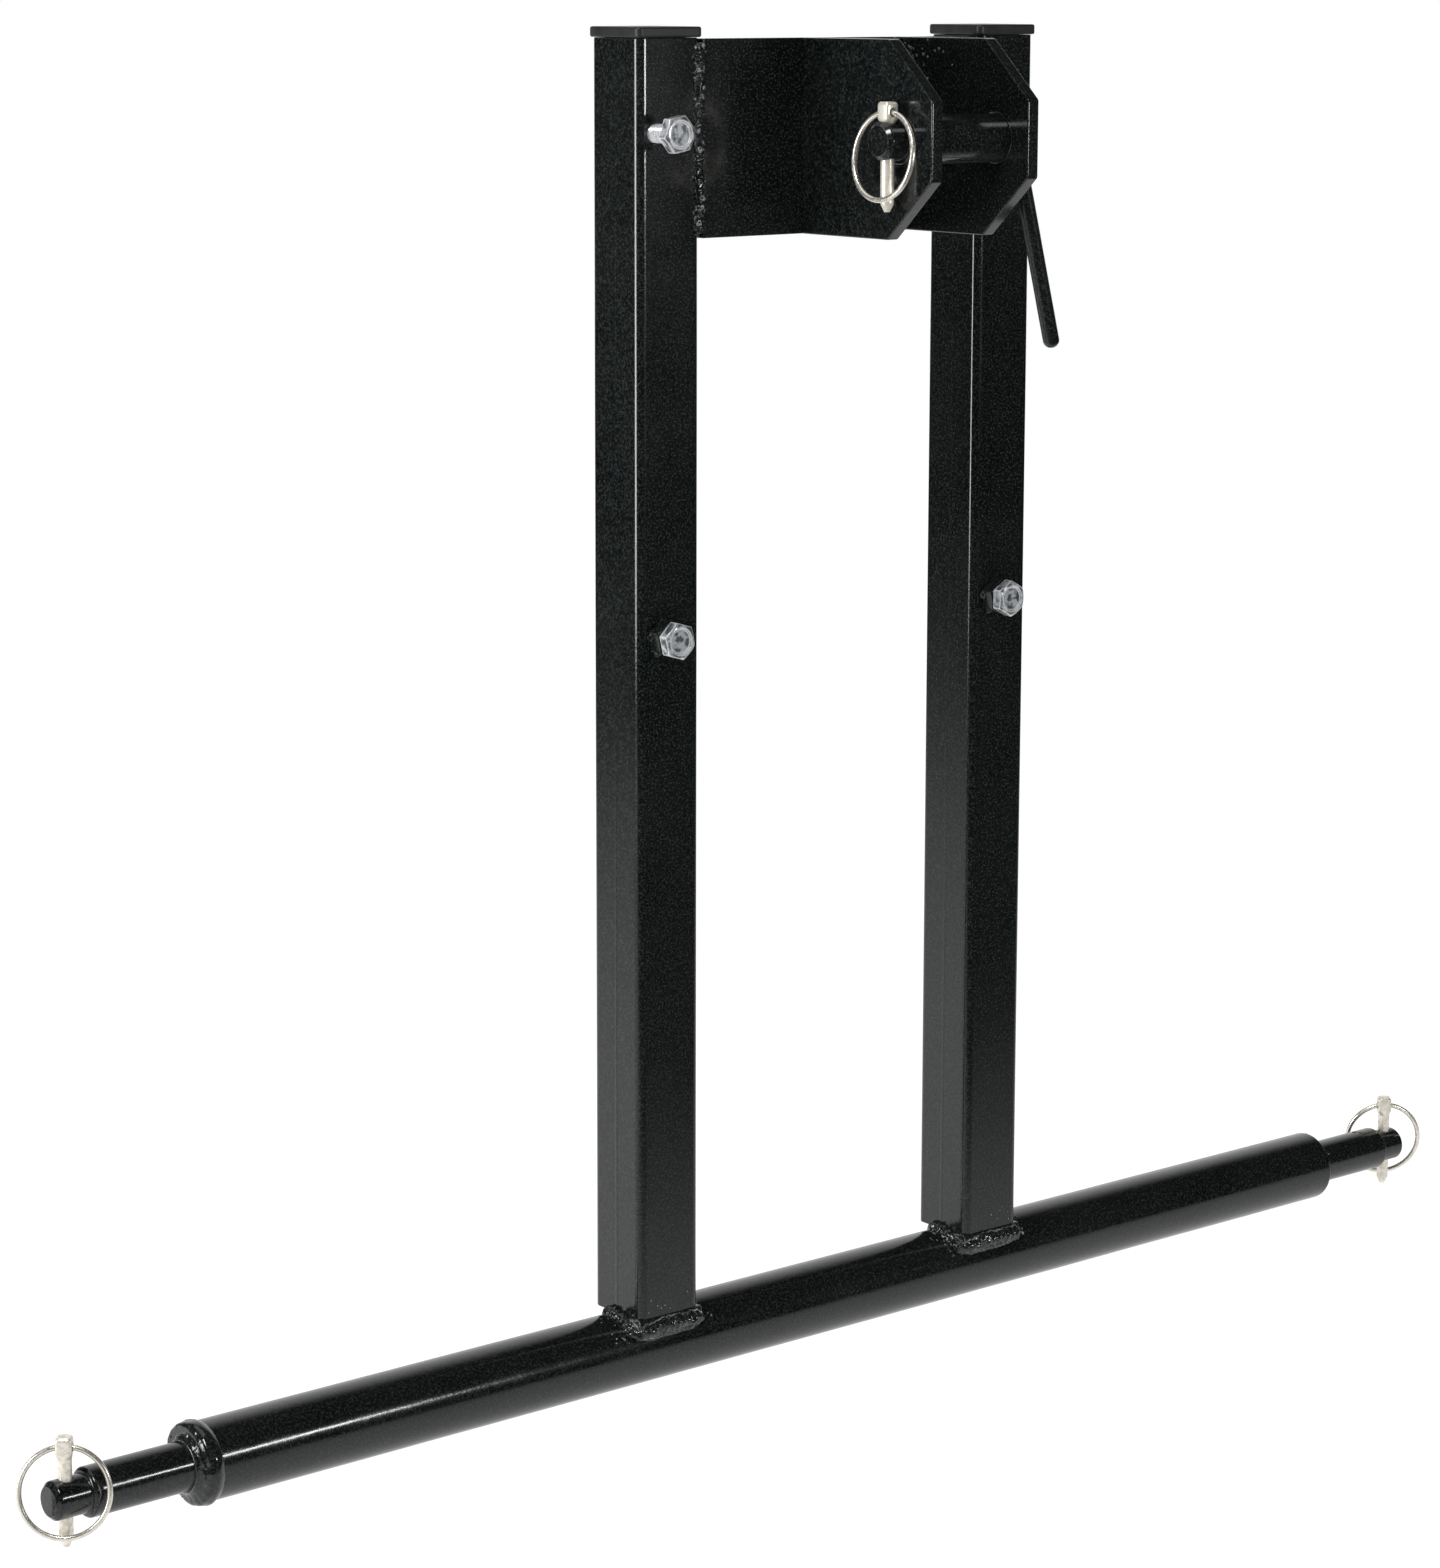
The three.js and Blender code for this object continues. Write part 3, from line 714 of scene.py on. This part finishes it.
def upright(word):
    """A square tube with rounded corners and, on its left face, the line of its own seam weld."""
    node = word + "_upright"
    low, high = mm_box(node)
    cx, size = (low.x + high.x) / 2, high.x - low.x
    outer = rounded_square(cx, 0, size, UPRIGHT_CORNER)
    seam_side = low.x
    seam = []
    for k in range(9):
        y = SEAM_HALF - 2 * SEAM_HALF * k / 8
        seam.append((seam_side - SEAM_DEPTH * math.cos(y / SEAM_HALF * math.pi / 2) ** 2, y))
    outline = []
    for i, p in enumerate(outer):
        outline.append(p)
        after = outer[(i + 1) % len(outer)]
        if abs(p[0] - seam_side) < 1e-6 and abs(after[0] - seam_side) < 1e-6 and p[1] > 0 > after[1]:
            outline.extend(seam)
    inner = rounded_square(cx, 0, size - 2 * UPRIGHT_WALL, 0.8, 4)
    tube = slab(outline, high.z - low.z, lambda u, v, w: Vector((u, v, low.z + w)), 0.35)
    obj = make_object(node + "_steel", tube)
    cut_away(obj, slab(inner, high.z - low.z + 4, lambda u, v, w: Vector((u, v, low.z - 2 + w)), 0.0, 1))
    for bolt in (word + "_mid_bolt", word + "_upper_bolt"):
        b_low, b_high = mm_box(bolt)
        at = ((b_low.x + b_high.x) / 2, 0, (b_low.z + b_high.z) / 2)
        cut_away(obj, drill(at, "Y", BOLT_R + HOLE_GAP, low.y - 2, low.y + UPRIGHT_WALL + 2))
    stand_in(obj, node, BLACK)


def cap(word):
    node = word + "_cap"
    low, high = mm_box(node)
    cx, size = (low.x + high.x) / 2, high.x - low.x
    under = high.z - CAP_LID
    lid = slab(rounded_square(cx, 0, size, 2.0), CAP_LID, lambda u, v, w: Vector((u, v, under + w)), 0.7)
    plug_size = size - 2 * CAP_OVERHANG - 2 * UPRIGHT_WALL - CAP_PLUG_GAP
    outline = rounded_square(cx, 0, plug_size, 1.2)
    plug = slab(outline, under - low.z + 0.6, lambda u, v, w: Vector((u, v, low.z + w)), 0.4)
    stand_in(make_object(node + "_moulding", combine(lid, plug)), node, CAP)


def foot_weld(word, side):
    """Fills the wedge under the upright's front edge, and runs up round its sides over the cross tube."""
    node = word + "_foot_weld"
    low, high = mm_box(word + "_upright")
    cx, half = (low.x + high.x) / 2, (high.x - low.x) / 2
    seat, front = low.z, low.y
    hug = TUBE_R + 0.3

    def on_tube(x, y):
        return (x, y, math.sqrt(max(0.0, hug * hug - y * y)))

    wedge = [(-hug * math.sin(a), hug * math.cos(a)) for a in [math.radians(14 + 8 * k) for k in range(7)]]
    wedge += [(front - 0.2, 7.6), (front - 0.7, 10.0), (front - 0.7, 12.2), (front, 13.6)]
    fill = slab(wedge, 2 * half + 1.2, lambda u, v, w: Vector((cx - half - 0.6 + w, u, v)), 0.15, 1)
    route = [on_tube(cx - half - 0.7, 5.5), on_tube(cx - half - 1.1, 1.0), on_tube(cx - half - 1.3, -4.0)]
    route += [on_tube(cx - half - 1.4, -8.0), (cx - half - 0.9, front + 1.0, 8.6)]
    route += [(cx - half + 2.5, front - 0.9, 9.4)]
    route += [(cx - 4, front - 0.7, 10.6), (cx + 4, front - 0.9, 10.2), (cx + half - 2.0, front - 0.6, 10.4)]
    route += [(cx + half + 0.7, front + 1.2, 9.4), on_tube(cx + half + 1.3, -7.5)]
    route += [on_tube(cx + half + 1.2, -3.0), on_tube(cx + half + 0.8, 2.5)]
    core = Vector((cx, 1.0, 3.0))
    seed = 3.7 + side
    line = even_steps(route, 0.28)
    rope = bead(line, lambda p: p - core, 2.4, 2.0, seed, 2.3, 22, lumps=0.32, lump_step=0.7)
    toe_route = [(cx - half + 1.0, front + 0.5, 7.2), (cx - 3.0, front + 0.2, 7.7)]
    toe_route += [(cx + 3.0, front + 0.4, 7.5), (cx + half - 1.5, front + 0.4, 7.8)]
    toe = bead(even_steps(toe_route, 0.28), lambda p: p - core, 1.7, 1.5, seed + 5)
    chance = random.Random(21 + side)
    drops = []
    for _ in range(16):
        x = chance.choice([cx - half - chance.uniform(3.5, 9.0), cx + half + chance.uniform(3.5, 8.0)])
        y = chance.uniform(-11.0, -1.0)
        at = Vector(on_tube(x, y))
        drops.append(nib(at - Vector((0, 0, 0.25)), Vector((0, at.y, at.z)), chance.uniform(0.22, 0.5)))
    for _ in range(8):
        at = Vector((cx + chance.uniform(-half + 3, half - 3), front, seat + chance.uniform(2.5, 9.0)))
        drops.append(nib(at, Vector((0, -1, 0)), chance.uniform(0.18, 0.36)))
    stand_in(make_object(node + "_bead", combine(fill, rope, toe, *drops)), node, WELD, 60.0)


for word, side in (("left", -1), ("right", 1)):
    upright(word)
    cap(word)
    foot_weld(word, side)

# ---------------------------------------------------------------- bracket: cross plate, ears and welds

TOP_PIN_LOW, TOP_PIN_HIGH = mm_box("top_link_pin")
TOP_PIN_Y = (TOP_PIN_LOW.y + TOP_PIN_HIGH.y) / 2
TOP_PIN_Z = (TOP_PIN_LOW.z + TOP_PIN_HIGH.z) / 2
TOP_PIN_R = (TOP_PIN_HIGH.z - TOP_PIN_LOW.z) / 2


def cross_plate():
    low, high = mm_box("cross_plate")
    outline = softened([(low.x, low.z), (high.x, low.z), (high.x, high.z), (low.x, high.z)], 0.5, 4, True)
    shape = slab(outline, high.y - low.y, lambda u, v, w: Vector((u, low.y + w, v)), 0.45)
    stand_in(make_object("cross_plate_steel", shape), "cross_plate", BLACK)


def ear(node):
    low, high = mm_box(node)
    corners = [
        (high.y, low.z), (high.y, high.z), (low.y + EAR_CHAMFER_RUN, high.z),
        (low.y, high.z - EAR_CHAMFER_DROP), (low.y, low.z + EAR_CHAMFER_DROP),
        (low.y + EAR_CHAMFER_RUN, low.z),
    ]
    outline = softened(corners, 0.7, 4, True)
    plate = slab(outline, high.x - low.x, lambda u, v, w: Vector((low.x + w, u, v)), 0.5)
    obj = make_object(node + "_steel", plate)
    cut_away(obj, drill((0, TOP_PIN_Y, TOP_PIN_Z), "X", TOP_PIN_R + HOLE_GAP, low.x - 2, high.x + 2, 72))
    stand_in(obj, node, BLACK)


def upright_bead(node, x, y, half_width, height, seed, outward, drops):
    """A bead standing up a corner, tapered at its ends, joined with the spatter drops it is given."""
    low, high = mm_box(node)
    route = [(x, y, low.z + 0.6), (x, y, (low.z + high.z) / 2), (x, y, high.z - 0.8)]
    line = even_steps(route, 0.26)
    rope = bead(line, lambda p: outward, half_width, height, seed, 2.1, 20, lumps=0.5, lump_step=0.9)
    stand_in(make_object(node + "_bead", combine(rope, *drops)), node, WELD, 60.0)


def bracket_weld(word, side):
    node = word + "_bracket_weld"
    low, high = mm_box(node)
    plate_front = mm_box("cross_plate")[0].y
    x = (low.x + high.x) / 2
    chance = random.Random(40 + side)
    drops = []
    for _ in range(46):
        z = low.z + (high.z - low.z) * chance.random()
        at = Vector((x + chance.gauss(0, 1.3), plate_front - 0.02, z))
        drops.append(nib(at, Vector((0, -1, 0)), chance.uniform(0.2, 0.46), 0.8))
    for _ in range(26):
        z = low.z + (high.z - low.z) * chance.random()
        at = Vector((x + chance.uniform(-1.5, 1.5), plate_front - 1.0, z))
        drops.append(nib(at, Vector((chance.uniform(-0.4, 0.4), -1, 0.2)), chance.uniform(0.4, 0.65), 0.9))
    upright_bead(node, x, plate_front - 0.1, 2.0, 1.1, 11.3 + side, Vector((0, -1, 0)), drops)


def ear_weld(node, hand):
    low, high = mm_box(node)
    corner_x = low.x if hand > 0 else high.x
    face = high.y
    chance = random.Random(60 + hand)
    drops = []
    for _ in range(36):
        away = abs(chance.gauss(0, 9.0)) + 3.0
        z = high.z - abs(chance.gauss(0, 10.0))
        at = Vector((corner_x - hand * 0.1, face - away, z))
        drops.append(nib(at, Vector((hand, 0, 0)), chance.uniform(0.35, 0.75), 0.8))
    for _ in range(10):
        at = Vector((corner_x + hand * chance.uniform(3.5, 9.0), face + 0.1, high.z - chance.uniform(1, 30)))
        drops.append(nib(at, Vector((0, -1, 0)), chance.uniform(0.2, 0.45), 0.7))
    for _ in range(5):
        x = corner_x + hand * chance.uniform(0.6, 2.4)
        y = face - chance.uniform(0.6, 2.4)
        at = Vector((x, y, high.z - chance.uniform(0, 5)))
        drops.append(nib(at, Vector((hand, -1, 0.6)), chance.uniform(0.7, 1.15), 0.9))
    outward = Vector((hand, -1, 0)).normalized()
    upright_bead(node, corner_x + hand * 0.9, face - 0.9, 2.7, 1.5, 17.9 + hand, outward, drops)


cross_plate()
ear("left_ear")
ear("right_ear")
bracket_weld("left", -1)
bracket_weld("right", 1)
ear_weld("left_ear_weld", 1)
ear_weld("right_ear_weld", -1)

# ---------------------------------------------------------------- nuts and bolts


TACK_REACH = 5.6


def weld_nut(word):
    """A painted hexagon nut, held to the upright by five tacks of weld."""
    node = word + "_mid_nut"
    low, high = mm_box(node)
    cx, cz = (low.x + high.x) / 2, (low.z + high.z) / 2
    block = hexagon_block(BOLT_HEAD_AF, high.y - low.y, NUT_TURN_DEG)
    obj = make_object(node + "_steel", moved(block, Matrix.Translation((cx, low.y, cz))))
    cut_away(obj, drill((cx, 0, cz), "Y", BOLT_R + HOLE_GAP, low.y - 2, high.y + 2))
    tack = []
    for a in (0.5, 1.6, 3.0, 4.2, 5.4):
        c, s = math.cos(a), math.sin(a)
        at = Vector((cx + TACK_REACH * c, high.y - 0.4, cz + TACK_REACH * s))
        tack.append(nib(at, Vector((c, -0.6, s)), 1.3, 0.8))
    extra = make_object("tack", combine(*tack))
    work = bmesh.new()
    work.from_mesh(obj.data)
    work.from_mesh(extra.data)
    work.to_mesh(obj.data)
    work.free()
    bpy.data.objects.remove(extra)
    stand_in(obj, node, BLACK)


def bolt(node):
    low, high = mm_box(node)
    cx, cz = (low.x + high.x) / 2, (low.z + high.z) / 2
    head = hexagon_block(BOLT_HEAD_AF, BOLT_HEAD_THICKNESS, BOLT_TURN_DEG[node], BOLT_DISH)
    shank = threaded_rod(BOLT_R, THREAD_DEPTH, BOLT_HEAD_THICKNESS - 0.4, high.y - low.y)
    washer = turned([(BOLT_HEAD_THICKNESS - 0.2, 5.1), (BOLT_HEAD_THICKNESS + 0.12, 5.0)], "Y", 64)
    shape = moved(combine(head, washer, shank), Matrix.Translation((cx, low.y, cz)))
    stand_in(make_object(node + "_plated", shape), node, ZINC)


for word in ("left", "right"):
    weld_nut(word)
    bolt(word + "_mid_bolt")
    bolt(word + "_upper_bolt")

# ---------------------------------------------------------------- top-link pin and handle


def top_link_pin():
    low, high = TOP_PIN_LOW, TOP_PIN_HIGH
    ear_face = mm_box("left_ear")[0].x
    step = ear_face - 0.6
    profile = softened([
        (low.x, PIN_TIP_R - 1.3), (low.x + 1.3, PIN_TIP_R), (step, PIN_TIP_R), (step, TOP_PIN_R - 0.6),
        (step + 0.6, TOP_PIN_R), (high.x - 0.7, TOP_PIN_R), (high.x, TOP_PIN_R - 0.7),
    ], 0.4)
    shape = moved(turned(profile, "X", 112), Matrix.Translation((0, TOP_PIN_Y, TOP_PIN_Z)))
    obj = make_object("top_link_pin_steel", shape)
    lynch = mm_box("top_lynch_pin")
    cross = ((lynch[0].x + lynch[1].x) / 2, TOP_PIN_Y, TOP_PIN_Z)
    cut_away(obj, drill(cross, "Z", LYNCH_R + HOLE_GAP, -TOP_PIN_R - 2, TOP_PIN_R + 2))
    stand_in(obj, "top_link_pin", BLACK)


def handle():
    low = mm_box("top_link_handle")[0]
    start = low.x
    turn_x = TOP_PIN_HIGH.x + 0.2
    bend = math.radians(90 - HANDLE_SPLAY_DEG)
    path = [Vector((start + (turn_x - start) * k / 4, 0, 0)) for k in range(5)]
    for k in range(1, 25):
        a = bend * k / 24
        path.append(Vector((turn_x + HANDLE_BEND * math.sin(a), 0, -HANDLE_BEND + HANDLE_BEND * math.cos(a))))
    down = Vector((math.cos(bend), 0, -math.sin(bend)))
    bottom = low.z - TOP_PIN_Z + HANDLE_R
    reach = (path[-1].z - bottom) / math.sin(bend)
    path += [path[-1] + down * (reach * k / 40) for k in range(1, 41)]
    straight_count = len(path)
    radii = [HANDLE_R] * straight_count
    end = path[-1]
    for k in range(1, 9):
        a = math.pi / 2 * k / 8.6
        path.append(end + down * (HANDLE_R * math.sin(a)))
        radii.append(HANDLE_R * math.cos(a))
    shape = sweep(path, lambda i: radii[i] * (1 + 0.012 * noise.noise(path[i] * 0.15)), 32)
    shape = moved(shape, Matrix.Translation((0, TOP_PIN_Y, TOP_PIN_Z)))
    stand_in(make_object("top_link_handle_rod", shape), "top_link_handle", BLACK)


top_link_pin()
handle()

# ---------------------------------------------------------------- lynch pins and their rings


def lynch_pin(node, at, yaw_deg):
    """A tapered-tip pin with a squared-off drilled head."""
    r, h = LYNCH_R, LYNCH_HEAD_R
    profile = softened([
        (LYNCH_TIP, 0.9), (LYNCH_TIP + 2.6, r), (LYNCH_NECK - LYNCH_SHOULDER, r), (LYNCH_NECK, h),
        (LYNCH_TOP - 0.7, h), (LYNCH_TOP, h - 0.7),
    ], 0.6)

    def squared(z, radius, a):
        share = max(0.0, min(1.0, (z - LYNCH_NECK + LYNCH_SHOULDER) / LYNCH_SHOULDER))
        flat = (abs(math.cos(a)) ** 6 + abs(math.sin(a)) ** 6) ** (-1 / 6)
        return z, radius * (1 + share * 0.9 * (flat / 1.12 - 1))

    place = Matrix.Translation(at) @ Matrix.Rotation(math.radians(yaw_deg), 4, "Z")
    obj = make_object(node + "_plated", moved(turned(profile, "Z", 72, False, squared), place))
    eye = moved(turned([(-h - 2, RING_WIRE_R + 0.6), (h + 2, RING_WIRE_R + 0.6)], "X", 32),
                place @ Matrix.Translation((0, 0, RING_PIVOT)))
    cut_away(obj, eye)
    stand_in(obj, node, PALE)


def lynch_ring(node, at, yaw_deg, hand):
    """A spring-wire ring hanging from the pin's eye and leaning on its shank."""
    count = 140
    path = []
    for k in range(count):
        a = 2 * math.pi * k / count
        r = RING_RADIUS + 0.12 * math.sin(2 * a + 0.6)
        path.append(Vector((r * math.sin(a), 0.12 * math.sin(3 * a), r * math.cos(a))))
    place = Matrix.Translation(at) @ Matrix.Rotation(math.radians(yaw_deg), 4, "Z")
    place = place @ Matrix.Translation((0, 0, RING_PIVOT))
    place = place @ Matrix.Rotation(math.radians(hand * RING_LEAN_DEG), 4, "X")
    shape = sweep(path, RING_WIRE_R, 20, Vector((0, 1, 0)), True)
    shape = moved(shape, place @ Matrix.Translation((0, 0, -RING_RADIUS)))
    stand_in(make_object(node + "_wire", shape), node, WIRE)


for word, yaw_deg, hand in (
    ("left", LOWER_YAW_DEG, -1),
    ("right", LOWER_YAW_DEG, 1),
    ("top", TOP_YAW_DEG, -1),
):
    low, high = mm_box(word + "_lynch_pin")
    at = ((low.x + high.x) / 2, (low.y + high.y) / 2, high.z - LYNCH_TOP)
    lynch_pin(word + "_lynch_pin", at, yaw_deg)
    lynch_ring(word + "_lynch_ring", at, yaw_deg, hand)

# ---------------------------------------------------------------- studio

FLOOR_Z = cad_low.z - 0.0008
FLOOR_HALF = 60
CARD_HALF = 4
CARD_FADE = (0.05, 1.8, 1.0, 0.02)
CARD_NEAR = (-0.38, 0.10, 0.03, 1.0)
SHEET_DIRECTION = (0.62, 0.76, 0.18)
SHEET_GLOW = (0.62, 0.97, 0.03, 1.0)


def plain_sheet(name, half, z):
    mesh = bpy.data.meshes.new(name)
    corners = [(-half, -half, z), (half, -half, z), (half, half, z), (-half, half, z)]
    mesh.from_pydata(corners, [], [(0, 1, 2, 3)])
    obj = bpy.data.objects.new(name, mesh)
    bpy.context.scene.collection.objects.link(obj)
    obj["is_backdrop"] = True
    return obj


def glow_material(name, colour, strength, share):
    """A surface that gives off its own light and is matt; `share` is taken off what it reflects."""
    material = bpy.data.materials.new(name)
    material.use_nodes = True
    bsdf = material.node_tree.nodes["Principled BSDF"]
    bsdf.inputs["Base Color"].default_value = (*[c * (1 - share) for c in colour], 1)
    bsdf.inputs["Roughness"].default_value = 0.9
    bsdf.inputs["Specular IOR Level"].default_value = 0.0
    bsdf.inputs["Emission Color"].default_value = (*colour, 1)
    bsdf.inputs["Emission Strength"].default_value = strength
    return material


def falloff_card_material():
    """White paper that glows: brightest close behind the object, dim in front of it and far away."""
    material = bpy.data.materials.new("bounce_white")
    material.use_nodes = True
    tree = material.node_tree
    tree.nodes.clear()
    new, link = tree.nodes.new, tree.links.new
    place = new("ShaderNodeTexCoord")
    split = new("ShaderNodeSeparateXYZ")
    reach = new("ShaderNodeVectorMath")
    fade = new("ShaderNodeMapRange")
    near = new("ShaderNodeMapRange")
    both = new("ShaderNodeMath")
    glow = new("ShaderNodeEmission")
    out = new("ShaderNodeOutputMaterial")
    reach.operation = "LENGTH"
    both.operation = "MULTIPLY"
    fade.interpolation_type = "SMOOTHERSTEP"
    near.interpolation_type = "SMOOTHSTEP"
    for node, values in ((fade, CARD_FADE), (near, CARD_NEAR)):
        for key, value in zip(("From Min", "From Max", "To Min", "To Max"), values):
            node.inputs[key].default_value = value
    link(place.outputs["Object"], reach.inputs[0])
    link(place.outputs["Object"], split.inputs[0])
    link(reach.outputs["Value"], fade.inputs["Value"])
    link(split.outputs["Y"], near.inputs["Value"])
    link(fade.outputs["Result"], both.inputs[0])
    link(near.outputs["Result"], both.inputs[1])
    link(both.outputs[0], glow.inputs["Strength"])
    link(glow.outputs[0], out.inputs["Surface"])
    return material


def studio():
    """A pale floor that the camera sees, and under it a card that only reflections see."""
    floor = plain_sheet("floor", FLOOR_HALF, FLOOR_Z)
    floor.data.materials.append(glow_material("pale_floor", (1.0, 1.0, 1.0), 0.98, 0.80))
    floor.visible_glossy = False
    card = plain_sheet("bounce_card", CARD_HALF, FLOOR_Z - 0.002)
    card.data.materials.append(falloff_card_material())
    card.visible_camera = False
    card.visible_diffuse = False
    card.visible_shadow = False


def area_light(name, at, target, width, height, power):
    data = bpy.data.lights.new(name, "AREA")
    data.shape = "RECTANGLE"
    data.size, data.size_y = width, height
    data.energy = power
    light = bpy.data.objects.new(name, data)
    bpy.context.scene.collection.objects.link(light)
    light.location = at
    light.rotation_mode = "QUATERNION"
    light.rotation_quaternion = (Vector(target) - Vector(at)).to_track_quat("-Z", "Y")


def world():
    """A dark room with a white sheet behind the object. Camera rays see plain white instead of it."""
    made = bpy.data.worlds.new("studio")
    made.use_nodes = True
    tree = made.node_tree
    tree.nodes.clear()
    new, link = tree.nodes.new, tree.links.new
    out = new("ShaderNodeOutputWorld")
    plain = new("ShaderNodeBackground")
    room = new("ShaderNodeBackground")
    choose = new("ShaderNodeMixShader")
    path = new("ShaderNodeLightPath")
    direction = new("ShaderNodeTexCoord")
    toward = new("ShaderNodeVectorMath")
    ramp = new("ShaderNodeMapRange")
    toward.operation = "DOT_PRODUCT"
    toward.inputs[1].default_value = SHEET_DIRECTION
    ramp.interpolation_type = "SMOOTHSTEP"
    for key, value in zip(("From Min", "From Max", "To Min", "To Max"), SHEET_GLOW):
        ramp.inputs[key].default_value = value
    link(direction.outputs["Generated"], toward.inputs[0])
    link(toward.outputs["Value"], ramp.inputs["Value"])
    link(ramp.outputs["Result"], room.inputs["Strength"])
    plain.inputs["Color"].default_value = (1, 1, 1, 1)
    room.inputs["Color"].default_value = (1.0, 1.0, 0.985, 1)
    link(path.outputs["Is Camera Ray"], choose.inputs[0])
    link(room.outputs[0], choose.inputs[1])
    link(plain.outputs[0], choose.inputs[2])
    link(choose.outputs[0], out.inputs["Surface"])
    bpy.context.scene.world = made


studio()
world()
area_light("left_box", (-1.3, 0.30, 0.32), (0, 0, 0.32), 0.45, 0.55, 10)
area_light("front_strip", (0.30, -1.02, 0.40), (-0.2, 0, 0.1), 0.34, 0.07, 2.6)
area_light("upper_left_key", (-0.95, -0.55, 1.5), (0, 0, 0.35), 0.42, 0.42, 13)
area_light("top_soft", (-0.2, 0.5, 2.2), (0, 0, 0.2), 1.6, 1.6, 8)
bpy.context.scene.view_settings.view_transform = "Standard"

# ---------------------------------------------------------------- overall size

low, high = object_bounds()
